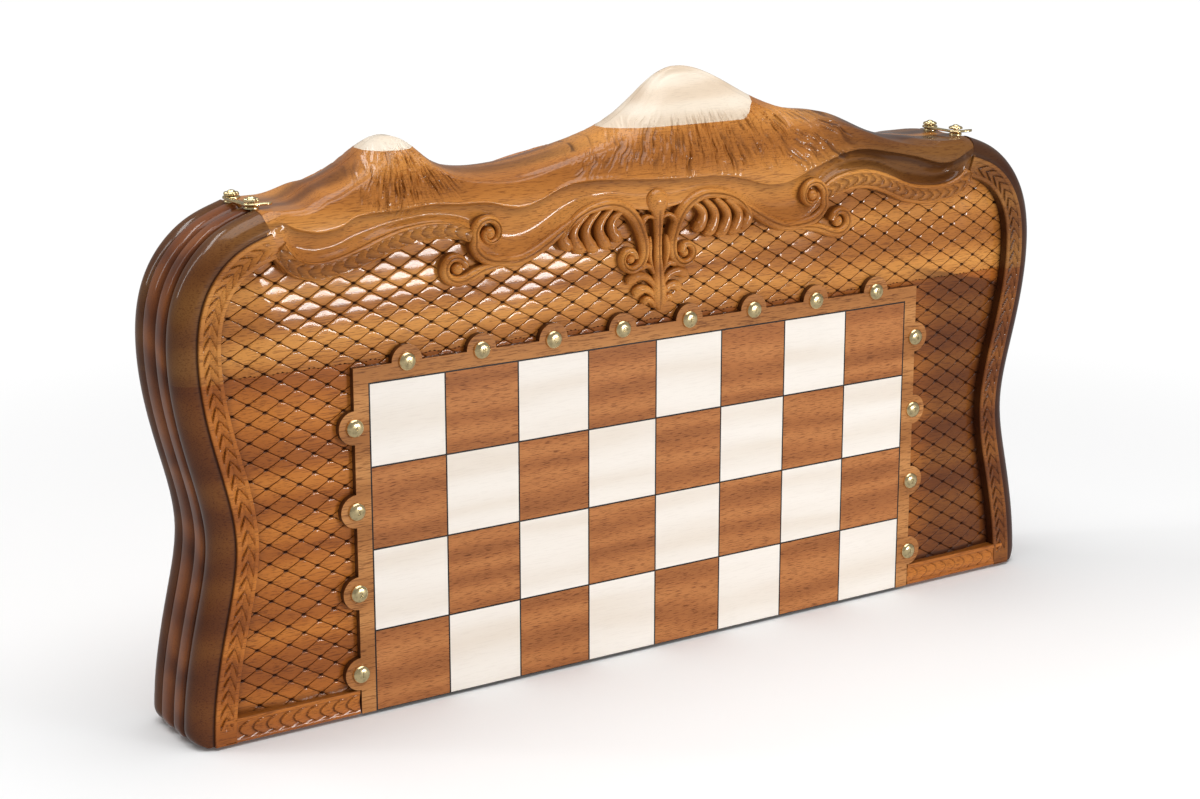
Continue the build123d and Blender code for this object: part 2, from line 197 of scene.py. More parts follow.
def finish_piece(name, bm, side, material, slot, nodes, angle=38, body=None):
    """Makes the object of one half: side 1 is the front half and -1 the back."""
    half = "front" if side > 0 else "back"
    bm = bm.copy()
    for v in bm.verts:
        x, d, z = v.co
        v.co = Vector((x, side * (d - half_depth), z)) * 0.001
    bmesh.ops.dissolve_degenerate(bm, dist=1e-8, edges=bm.edges[:])
    bmesh.ops.recalc_face_normals(bm, faces=bm.faces[:])
    mesh = bpy.data.meshes.new(f"{half}_{name}")
    bm.to_mesh(mesh)
    bm.free()
    for polygon in mesh.polygons:
        polygon.use_smooth = True
    mesh.set_sharp_from_angle(angle=math.radians(angle))
    obj = bpy.data.objects.new(f"{half}_{name}", mesh)
    bpy.context.scene.collection.objects.link(obj)
    mesh.materials.append(material)
    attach(obj, body or f"{half}_half")
    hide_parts(*[f"{half}_{n}" for n in nodes])
    return obj


# Materials

def new_material(name):
    material = bpy.data.materials.new(name)
    material.use_nodes = True
    tree = material.node_tree
    shader = tree.nodes["Principled BSDF"]
    return material, tree, shader


def node(tree, kind, inputs=(), **settings):
    n = tree.nodes.new(kind)
    for key, value in settings.items():
        setattr(n, key, value)
    for key, value in dict(inputs).items():
        if hasattr(value, "is_output"):
            tree.links.new(value, n.inputs[key])
        else:
            n.inputs[key].default_value = value
    return n


def ramp(tree, factor, stops):
    n = tree.nodes.new("ShaderNodeValToRGB")
    tree.links.new(factor, n.inputs["Fac"])
    elements = n.color_ramp.elements
    while len(elements) < len(stops):
        elements.new(0.5)
    for element, (place, colour) in zip(elements, stops):
        element.position = place
        element.color = (*colour, 1)
    return n.outputs["Color"]


def maths(tree, operation, a, b=0.0, clamp=False):
    n = tree.nodes.new("ShaderNodeMath")
    n.operation = operation
    n.use_clamp = clamp
    for k, value in enumerate((a, b)):
        if hasattr(value, "is_output"):
            tree.links.new(value, n.inputs[k])
        else:
            n.inputs[k].default_value = value
    return n.outputs[0]


def blend_colour(tree, factor, a, b, mode="MIX"):
    n = tree.nodes.new("ShaderNodeMix")
    n.data_type = "RGBA"
    n.blend_type = mode
    for name, value in (("Factor", factor), ("A", a), ("B", b)):
        socket = [s for s in n.inputs if s.name == name
            and (name == "Factor" and s.type == "VALUE" or s.type == "RGBA")][0]
        if hasattr(value, "is_output"):
            tree.links.new(value, socket)
        else:
            socket.default_value = value if name == "Factor" else (*value, 1)
    return [s for s in n.outputs if s.type == "RGBA"][0]


# Colour of dark stain in the carving and of the shade painted into its hollows and onto its walls
stain_and_shade_colour = (0.030, 0.006, 0.0015)
coat_weight = 0.62
coat_index = 1.45
wood_specular = 0.12
wood_bump = 0.12


def wood(name, dark, middle, light, figure=1.0, pores=0.6, shine=0.1, pore_scale=1.0, dark_below=0.0):
    """Wood with figure, fibres and pores along x; a point attribute darkens the carving with stain and with
    painted shade in its hollows and on its walls.
    """
    material, tree, shader = new_material(name)
    place = node(tree, "ShaderNodeTexCoord").outputs["Object"]
    figured = node(tree, "ShaderNodeMapping", {"Vector": place, "Scale": (0.14, 1.0, 1.0)}).outputs[0]
    broad = node(tree, "ShaderNodeTexNoise",
        {"Vector": figured, "Scale": 26 * figure, "Detail": 4, "Roughness": 0.55,
            "Distortion": 0.8}).outputs["Fac"]
    bands = node(tree, "ShaderNodeTexWave",
        {"Vector": figured, "Scale": 9 * figure, "Distortion": 7.0, "Detail": 3, "Detail Scale": 1.4},
        wave_type="BANDS", bands_direction="Z").outputs["Fac"]
    mixed = maths(tree, "ADD", maths(tree, "MULTIPLY", broad, 0.62), maths(tree, "MULTIPLY", bands, 0.38))
    colour = ramp(tree, mixed, [(0.22, dark), (0.5, middle), (0.78, light)])
    fibred = node(tree, "ShaderNodeMapping", {"Vector": place, "Scale": (0.06, 1.0, 1.0)}).outputs[0]
    fibres = node(tree, "ShaderNodeTexNoise",
        {"Vector": fibred, "Scale": 1900 * pore_scale, "Detail": 2, "Roughness": 0.6}).outputs["Fac"]
    dashes = ramp(tree, fibres, [(0.36, (0, 0, 0)), (0.47, (1, 1, 1))])
    darker = blend_colour(tree, 1.0, colour, (1 - pores * 0.75, 1 - pores * 0.85, 1 - pores * 0.92),
        "MULTIPLY")
    colour = blend_colour(tree, dashes, darker, colour)
    carved = node(tree, "ShaderNodeAttribute", attribute_name="stain").outputs["Fac"]
    colour = blend_colour(tree, maths(tree, "MULTIPLY", carved, 1.0, True), colour, stain_and_shade_colour)
    # Painted shade with dark stain on the sides that lie below the face, as on the raised chess panel's
    # edges
    if dark_below:
        parts = node(tree, "ShaderNodeSeparateXYZ", {"Vector": place})
        sunk = node(tree, "ShaderNodeMapRange",
            {"Value": maths(tree, "ABSOLUTE", parts.outputs["Y"]), "From Min": dark_below,
                "From Max": dark_below - 0.0004}).outputs[0]
        colour = blend_colour(tree, maths(tree, "MULTIPLY", sunk, 0.88), colour, stain_and_shade_colour)
    tree.links.new(colour, shader.inputs["Base Color"])
    rough = maths(tree, "ADD", maths(tree, "MULTIPLY", fibres, 0.25), 0.3)
    tree.links.new(rough, shader.inputs["Roughness"])
    smear = node(tree, "ShaderNodeTexNoise", {"Vector": place, "Scale": 60, "Detail": 3}).outputs["Fac"]
    height = maths(tree, "ADD", maths(tree, "MULTIPLY", fibres, 0.5), maths(tree, "MULTIPLY", smear, 0.6))
    bumped = node(tree, "ShaderNodeBump",
        {"Height": height, "Strength": wood_bump, "Distance": 0.0006}).outputs["Normal"]
    tree.links.new(bumped, shader.inputs["Normal"])
    shader.inputs["Coat Weight"].default_value = coat_weight
    shader.inputs["Coat Roughness"].default_value = shine
    shader.inputs["Coat IOR"].default_value = coat_index
    shader.inputs["Specular IOR Level"].default_value = wood_specular
    return material


def brass_material(name, colour=(0.93, 0.74, 0.40)):
    material, tree, shader = new_material(name)
    place = node(tree, "ShaderNodeTexCoord").outputs["Object"]
    patina = node(tree, "ShaderNodeTexNoise", {"Vector": place, "Scale": 350, "Detail": 5}).outputs["Fac"]
    tint = ramp(tree, patina, [(0.3, tuple(c * 0.7 for c in colour)), (0.55, colour)])
    tree.links.new(tint, shader.inputs["Base Color"])
    shader.inputs["Metallic"].default_value = 1.0
    tree.links.new(maths(tree, "ADD", maths(tree, "MULTIPLY", patina, 0.22), 0.12),
        shader.inputs["Roughness"])
    fine = node(tree, "ShaderNodeTexNoise", {"Vector": place, "Scale": 2500, "Detail": 2}).outputs["Fac"]
    bumped = node(tree, "ShaderNodeBump",
        {"Height": fine, "Strength": 0.12, "Distance": 0.0002}).outputs["Normal"]
    tree.links.new(bumped, shader.inputs["Normal"])
    return material


carved_lower = wood("carved_walnut_lower", (0.28, 0.075, 0.010), (0.42, 0.125, 0.016), (0.56, 0.19, 0.028))
carved_upper = wood("carved_walnut_upper", (0.35, 0.115, 0.018), (0.52, 0.195, 0.036), (0.68, 0.29, 0.062))
# Walnut of the rails, darkened as painted shade on sides that face away from the light
rail_wood_painted_shade = wood("rail_walnut", (0.10, 0.024, 0.004), (0.19, 0.050, 0.009), (0.28, 0.082, 0.015), pores=0.4)
panel_wood = wood("panel_walnut", (0.34, 0.125, 0.030), (0.46, 0.185, 0.050), (0.58, 0.26, 0.080),
    pores=0.7, shine=0.16, dark_below=0.0349)
brown_square = wood("brown_veneer", (0.33, 0.110, 0.028), (0.44, 0.155, 0.042), (0.54, 0.21, 0.062),
    pores=0.75, shine=0.2, figure=1.6, pore_scale=1.25)
cream_square = wood("pale_veneer", (0.82, 0.73, 0.63), (0.88, 0.81, 0.73), (0.92, 0.86, 0.79), pores=0.05,
    shine=0.22, figure=1.2)
cap_wood = wood("pale_wood", (0.72, 0.57, 0.42), (0.81, 0.67, 0.52), (0.88, 0.77, 0.63), pores=0.1,
    shine=0.16, figure=1.8)
field_wood = wood("field_veneer", (0.20, 0.075, 0.028), (0.30, 0.12, 0.045), (0.40, 0.18, 0.075),
    pores=0.7, shine=0.2)
black_wood = wood("black_line", (0.012, 0.009, 0.008), (0.02, 0.015, 0.012), (0.03, 0.022, 0.018),
    pores=0.2, shine=0.25)
brass = brass_material("brass")

# Quilt of carved diamonds, with a groove on each line and a dimple at each crossing
diamond_width = 19.5
diamond_height = 11.2


def outline_points(count):
    """Right side outline from the foot to the crest's end, and its outward normals."""
    curve = smooth_line(
        [(304, 0), (293, 73.5), (285.7, 117.5), (294.9, 168), (304, 223.5), (296.5, 263.5), (275, 285.5),
            (257, 292.5)],
        count,
        start=(0, 1),
        end=(-1, 0.35),
    )
    curve[:, 1] += wood_bottom
    along = np.gradient(curve, axis=0)
    along /= np.linalg.norm(along, axis=1)[:, None]
    normal = np.stack([along[:, 1], -along[:, 0]], axis=1)
    return curve, normal


side_curve, _ = outline_points(600)


def outline_half_width(z):
    """Half width of the outline at a height."""
    return np.interp(z, side_curve[:, 1], side_curve[:, 0])


# Lines of the crest, read on the face in squares
band_low = line_over_x([sq(*p) for p in (
    (-5.3, 5.75), (-5.11, 5.55), (-4.98, 5.40), (-4.80, 5.31), (-4.55, 5.27), (-4.26, 5.31), (-4.0, 5.37),
    (-3.78, 5.44),
    (-3.56, 5.51), (-3.35, 5.56), (-3.06, 5.58), (-2.84, 5.56), (-2.58, 5.47), (-2.4, 5.33),
    (-2.18, 5.23), (-1.96, 5.21),
    (-1.75, 5.27), (-1.49, 5.41), (-1.24, 5.56), (-1.02, 5.66), (-0.69, 5.74), (-0.35, 5.66),
    (0.02, 5.62), (0.39, 5.66),
    (0.73, 5.74), (1.1, 5.66), (1.32, 5.52), (1.48, 5.40), (1.63, 5.30), (1.86, 5.22), (2.09, 5.20),
    (2.32, 5.27),
    (2.5, 5.38), (2.67, 5.49), (2.86, 5.55), (3.17, 5.59), (3.44, 5.54), (3.71, 5.44), (3.94, 5.36),
    (4.21, 5.30),
    (4.52, 5.29), (4.79, 5.32), (4.98, 5.40), (5.11, 5.55), (5.3, 5.75))])
band_high = line_over_x([sq(*p) for p in (
    (-5.3, 5.95), (-5.02, 5.80), (-4.95, 5.66), (-4.82, 5.53), (-4.66, 5.47), (-4.40, 5.48),
    (-4.18, 5.53), (-4.0, 5.59),
    (-3.78, 5.67), (-3.56, 5.73), (-3.35, 5.76), (-3.13, 5.77), (-2.91, 5.75), (-2.69, 5.68),
    (-2.4, 5.45), (-2.18, 5.31),
    (-1.96, 5.29), (-1.75, 5.34), (-1.49, 5.48), (-1.24, 5.63), (-1.02, 5.73), (-0.69, 5.80),
    (-0.35, 5.73), (0.02, 5.70),
    (0.39, 5.73), (0.73, 5.80), (1.1, 5.73), (1.32, 5.60), (1.48, 5.48), (1.63, 5.38), (1.86, 5.30),
    (2.09, 5.28),
    (2.32, 5.36), (2.5, 5.5), (2.62, 5.66), (2.86, 5.79), (3.17, 5.84), (3.44, 5.82), (3.71, 5.73),
    (3.94, 5.61),
    (4.21, 5.54), (4.48, 5.51), (4.79, 5.55), (4.98, 5.65), (5.09, 5.79), (5.3, 5.95))])
crease = line_over_x([sq(*p) for p in (
    (-5.3, 6.0), (-5.02, 5.97), (-4.95, 5.93), (-4.84, 5.87), (-4.71, 5.83), (-4.55, 5.80), (-4.40, 5.81),
    (-4.25, 5.85),
    (-4.15, 5.91), (-3.96, 5.95), (-3.56, 5.96), (-3.06, 5.98), (-2.73, 5.95), (-2.33, 5.92),
    (-2.15, 5.87), (-1.93, 5.83),
    (-1.75, 5.86), (-1.56, 5.93), (-1.42, 5.99), (-1.24, 6.04), (-0.95, 6.06), (-0.3, 6.02), (0.36, 5.98),
    (0.94, 5.96),
    (1.21, 5.92), (1.48, 5.84), (1.71, 5.78), (2.02, 5.78), (2.25, 5.85), (2.48, 5.93), (2.75, 6.02),
    (2.98, 6.08),
    (3.3, 6.09), (3.63, 6.03), (4.21, 5.90), (4.59, 5.80), (4.8, 5.81), (5.02, 5.90), (5.3, 5.98))])

skyline_curve = smooth_line(
    [(-235, 309.4), (-189, 327.9), (-174, 337.4), (-164, 337.4), (-144, 323.9), (-104, 314.9),
        (-44, 323.9), (-2, 340.9),
     (31, 364.4), (45, 364.4), (88, 345.4), (127, 331.9), (149, 328.9), (189, 313.4), (235, 306.9)], 900)


def skyline(x):
    inside = np.minimum(np.interp(x, skyline_curve[:, 0], skyline_curve[:, 1]), peak_top)
    return land_z + np.maximum(inside - land_z, 0) * smoothstep(238, 218, np.abs(x))


def lean(z):
    """Depth of the crest's front at a height."""
    return np.interp(z, [280, 290, 297, 304, 315, 330, 347, 365],
        [0.0, 0.2, 1.2, 3.0, 7.5, 14.0, 21.0, 28.0])


def make_quilt(low, high):
    """Carved field between two heights, as a closed board."""
    marks = np.array([0, 0.036, 0.08, 0.15, 0.28, 0.42, 0.58, 0.72, 0.85, 0.92, 0.964])
    a = np.array([diamond_width / 2, diamond_height / 2])
    b = np.array([diamond_width / 2, -diamond_height / 2])
    span = 48
    steps = (np.arange(-span, span)[:, None] + marks[None, :]).ravel()
    p, q = np.meshgrid(steps, steps, indexing="ij")
    x = p * a[0] + q * b[0]
    z = p * a[1] + q * b[1] + 120.0
    fp, fq = p - np.floor(p), q - np.floor(q)
    reach_p = np.minimum(fp, 1 - fp) * 9.7
    reach_q = np.minimum(fq, 1 - fq) * 9.7
    near = np.minimum(reach_p, reach_q)
    crossing = np.hypot(reach_p, reach_q)
    groove = np.clip(1 - near / 0.36, 0, 1)
    dimple = np.clip(1 - crossing / 1.7, 0, 1)
    pillow = 0.10 * (np.clip(reach_p / 2.0, 0, 1) * np.clip(reach_q / 2.0, 0, 1)) ** 0.5
    pillow += 0.08 * np.sin(math.pi * fp) * np.sin(math.pi * fq)
    # The field is a low dome, deepest along the border and the crest
    rim = np.minimum(outline_half_width(z) - 14 - np.abs(x), (band_low(x) - z) * 0.95)
    dome = 2.6 * (1 - smoothstep(-2, 36, rim))
    d = 4.3 + dome - pillow + 0.6 * groove ** 0.8 + 0.7 * smoothstep(0, 1, dimple)
    stain = 0.9 * smoothstep(0, 0.5, groove) + 0.95 * smoothstep(0.12, 0.6, dimple)
    # Painted shade along the border and the bottom edge, where the field lies sunk below them, and a darker
    # tone of the wood towards the lower right
    painted_shade_and_tone = 0.35 * smoothstep(7, 0, outline_half_width(z) - 14 - np.abs(x)) + 0.5 * smoothstep(5, 0, z - 17)
    painted_shade_and_tone += 0.62 * smoothstep(195, 240, x) * smoothstep(seam_z + 1, seam_z - 1, z + 0.25 * (x - 250))
    stain = np.clip(stain + painted_shade_and_tone, 0, 0.95)
    rows, columns = x.shape
    faces = grid_faces(rows, columns)
    cx = x.ravel()[faces].mean(axis=1)
    cz = z.ravel()[faces].mean(axis=1)
    keep = (np.abs(cx) < outline_half_width(cz) - 7) & (cz > low) & (cz < high)
    keep &= cz < np.minimum(band_high(cx), 296) + 2
    keep &= ~((np.abs(cx) < 204) & (cz < 208))
    faces = faces[keep]
    used, inverse = np.unique(faces, return_inverse=True)
    faces = inverse.reshape(faces.shape)
    points = np.stack([x.ravel()[used], d.ravel()[used], z.ravel()[used]], axis=1)
    bm = new_mesh(points, faces, stain.ravel()[used])
    for height, front in ((low, True), (high, False)):
        if 0 < height < 290:
            bmesh.ops.bisect_plane(bm, geom=bm.verts[:] + bm.edges[:] + bm.faces[:], dist=1e-5,
                                   plane_co=(0, 0, height), plane_no=(0, 0, 1 if front else -1),
                                   clear_inner=True)
    rim_edges = [e for e in bm.edges if e.is_boundary]
    sides = bmesh.ops.extrude_edge_only(bm, edges=rim_edges)["geom"]
    for v in sides:
        if isinstance(v, bmesh.types.BMVert):
            v.co.y = board_thickness
    rear = [e for e in bm.edges if e.is_boundary]
    bmesh.ops.triangle_fill(bm, edges=rear, use_beauty=False, use_dissolve=True)
    return bm


# Border with its leaf chain, quirk and ovolo, swept along the side
def leaf_chain(s, w):
    """Depth cut by nested husks at a run s and distance w from their middle line, and how much the carving
    is darkened there.
    """
    half_width, pitch, slope = 3.7, 8.4, 1.55
    a = np.abs(w)
    phase = (s + slope * a + 0.12 * a * a) / pitch
    phase = phase - np.floor(phase)
    inside = smoothstep(half_width, half_width - 0.8, a)
    fall = 1.35 * (1 - phase) ** 1.5 + 0.35 * np.clip(1 - a / 0.6, 0, 1) * phase
    edge = np.exp(-((a - half_width) / 0.4) ** 2) * (0.35 + 0.7 * (1 - phase) ** 2)
    mark = inside * 0.75 * smoothstep(0.24, 0.0, phase) + 0.35 * edge
    return np.clip(inside * fall + edge, 0, 1.6), mark


def ring_profile():
    """Overhang and depth of each point of the border's section, from the inner wall outwards."""
    flat = np.linspace(-13.3, -0.7, 27)
    arc = np.radians(np.linspace(0, 118, 20))
    points = [(-14.0, 9.0), (-13.9, 1.2), (-13.7, 0.45)]
    points += [(o, 0.0) for o in flat]
    points += [(-0.25, 0.25), (-0.05, 0.9), (0.15, 1.9), (0.75, 2.1)]
    points += [(1.2 + 11.1 * math.sin(t), 13.5 - 11.5 * math.cos(t)) for t in arc]
    points += [(9.9, 19.2), (9.6, board_thickness), (-14.0, board_thickness)]
    return np.array(points)


def make_ring():
    """Right border with its mouldings, closed at both ends."""
    count = 560
    path, normal = outline_points(count)
    profile = ring_profile()
    o, d = profile[:, 0], profile[:, 1]
    run = np.linspace(0, 1, count) * np.linalg.norm(np.diff(path, axis=0), axis=1).sum()
    lift = path[:, 1:2] - wood_bottom
    swell = np.clip(o, 0, None)
    corner = np.clip(1 - lift / 9.0, 0, 1)
    keep = 1 - np.clip(swell[None, :] / 12, 0, 1) * (1 - np.sqrt(np.clip(1 - corner ** 2, 0, 1))) * 0.62
    over = np.where(o[None, :] > 0, o[None, :] * keep, np.maximum(o[None, :], -14.0))
    x = path[:, 0:1] + over * normal[:, 0:1]
    z = path[:, 1:2] + over * normal[:, 1:2]
    z = np.maximum(z, wood_bottom)
    depth = np.broadcast_to(d[None, :], x.shape).copy()
    on_face = (o > -13.4) & (o < -0.5)
    start = smoothstep(8, 12, run)[:, None]
    chain, mark = leaf_chain(run[:, None], (o + 7.0)[None, :])
    start = start * smoothstep(run[-1] - 2, run[-1] - 8, run)[:, None]
    depth[:, on_face] += (chain * start)[:, on_face]
    stain = np.zeros_like(x)
    stain[:, on_face] = (mark * start)[:, on_face]
    stain += np.exp(-((o - 0.1) / 0.35) ** 2)[None, :] * (d < 4)[None, :] * 0.9
    # Painted shade on the inner wall beside the sunk field, and on the ovolo, which turns away from the
    # light
    stain += 0.55 * ((o < -13.8) & (d < 12))[None, :]
    stain += (0.7 * smoothstep(0.0, 0.6, o) + 0.14 * smoothstep(5, 14, d))[None, :] * (d > 1)[None, :]
    rows, columns = x.shape
    points = np.stack([x, depth, z], axis=-1).reshape(-1, 3)
    faces = tube_faces(rows, columns)
    return new_mesh(points, faces, np.clip(stain, 0, 0.95).ravel())


def make_rail():
    """Right rail of the case, with a rounded outer edge and a straight wall inside."""
    count = 330
    path, normal = outline_points(count)
    section = [(9.6, 19.5), (9.5, 20.5), (11.0, 20.7), (12.0, 21.6), (12.4, 23.2), (12.46, 25.5),
        (12.46, 28.0), (12.2, 30.4),
               (11.5, 32.4), (10.4, 33.9), (8.8, 34.7), (8.0, wood_depth)]
    lift = path[:, 1] - wood_bottom
    corner = np.clip(1 - lift / 8.0, 0, 1)
    keep = 1 - (1 - np.sqrt(np.clip(1 - corner ** 2, 0, 1))) * 0.5
    columns = []
    for o, d in section:
        over = o * keep
        columns.append(np.stack([path[:, 0] + over * normal[:, 0], np.full(count, d),
                                 np.maximum(path[:, 1] + over * normal[:, 1], wood_bottom)], axis=1))
    for d in (wood_depth, board_thickness):
        columns.append(np.stack([np.minimum(path[:, 0], 266.0), np.full(count, d),
            np.minimum(path[:, 1], hollow_top)], axis=1))
    points = np.stack(columns, axis=1)
    wide = points.shape[1]
    # Painted shade in the groove beside the border and towards the gap between the halves
    stain = np.tile([0.7, 0.7, 0.3] + [0.12] * 5 + [0.2, 0.4, 0.6, 0.7, 0.0, 0.0], (count, 1))
    return new_mesh(points.reshape(-1, 3), tube_faces(count, wide), stain.ravel())


def lathe(place, axis, profile, spokes=36, petals=0, depth=0.0):
    """Closed turned body; profile holds (radius, height) from its foot to its top, along -d or z."""
    points = []
    for r, h in profile:
        for k in range(spokes):
            a = 2 * math.pi * k / spokes
            wide = r * (1 + depth * math.cos(petals * a)) if petals and h > 3.9 and r > 2.4 else r
            u, v = wide * math.cos(a), wide * math.sin(a)
            x, d, z = place
            points.append((x + u, d - h, z + v) if axis == "d" else (x + u, d + v, z + h))
    return new_mesh(points, tube_faces(len(profile), spokes))


def mirrored(bm):
    other = bm.copy()
    for v in other.verts:
        v.co.x = -v.co.x
    return other


def make_strip():
    """Right part of the bottom border, with nested crescents, from the panel to the corner."""
    xs = np.linspace(211.0, 297.5, 150)
    zs = np.concatenate([[wood_bottom], np.linspace(wood_bottom + 0.5, 16.2, 26), [16.7, 16.9, 16.9]])
    x, z = np.meshgrid(xs, zs, indexing="ij")
    w = z - 9.2
    bend = (x - 211) / 8.6 + (w * w) * 0.032
    phase = bend - np.floor(bend)
    inside = smoothstep(4.9, 4.0, np.abs(w))
    carve = inside * (0.95 - 0.9 * phase ** 1.3) + np.exp(-((np.abs(w) - 4.8) / 0.45) ** 2) * 0.4
    d = np.clip(carve, 0, 1.4)
    d[:, -3:] = (0.1, 0.6, 9.0)
    d[:, 0] = 0.5
    stain = 0.7 * inside * smoothstep(0.22, 0.0, phase) + 0.3 * np.exp(-((np.abs(w) - 4.8) / 0.45) ** 2)
    # Painted shade on the top edge and the step down to the field
    stain[:, -3:] = 0.5
    rows, columns = x.shape
    front = np.stack([x, d, z], axis=-1)
    rear = np.full((rows, 2, 3), 0.0)
    rear[:, 0] = np.stack([xs, np.full(rows, board_thickness), np.full(rows, 16.9)], axis=-1)
    rear[:, 1] = np.stack([xs, np.full(rows, board_thickness), np.full(rows, wood_bottom)], axis=-1)
    points = np.concatenate([front, rear], axis=1)
    stain = np.concatenate([stain, np.zeros((rows, 2))], axis=1)
    columns += 2
    faces = tube_faces(rows, columns)
    return new_mesh(points.reshape(-1, 3), faces, stain.ravel())


# Crest, as a closed body lofted between its lines
def furrows(x, z):
    """Height of the rocky furrows and how much of them shows."""
    total = np.zeros_like(x)
    share = np.zeros_like(x)
    for px, pz, left, right, foot_left, foot_right in (
        (38.0, 392.0, -62.0, 158.0, 306.0, 296.0),
        (-168.0, 352.0, -206.0, -128.0, 300.0, 302.0),
    ):
        angle = np.arctan2(x - px, pz - z)
        far = np.hypot(x - px, pz - z)
        turn = angle * (68.0 if px > 0 else 44.0) + 1.3 * noise(far / 15 + 3.1,
            angle * 5) + 0.6 * noise(far / 5, angle * 14)
        ridge = 1 - np.abs(noise(turn, far / 17 + 7.7)) * 2.0
        fine = 1 - np.abs(noise(turn * 1.9 + 4, far / 9)) * 2.0
        body = np.clip(0.65 * ridge + 0.35 * fine, -0.6, 1)
        foot = np.interp(x, [left, px, right],
            [foot_left, foot_left - 3, foot_right]) + 4 * noise(x / 9.0, x * 0 + 2)
        mask = smoothstep(left - 4, left + 12, x) * smoothstep(right + 4, right - 12, x)
        mask *= smoothstep(foot - 8, foot + 9, z)
        total += mask * body
        share = np.maximum(share, mask)
    return total, share


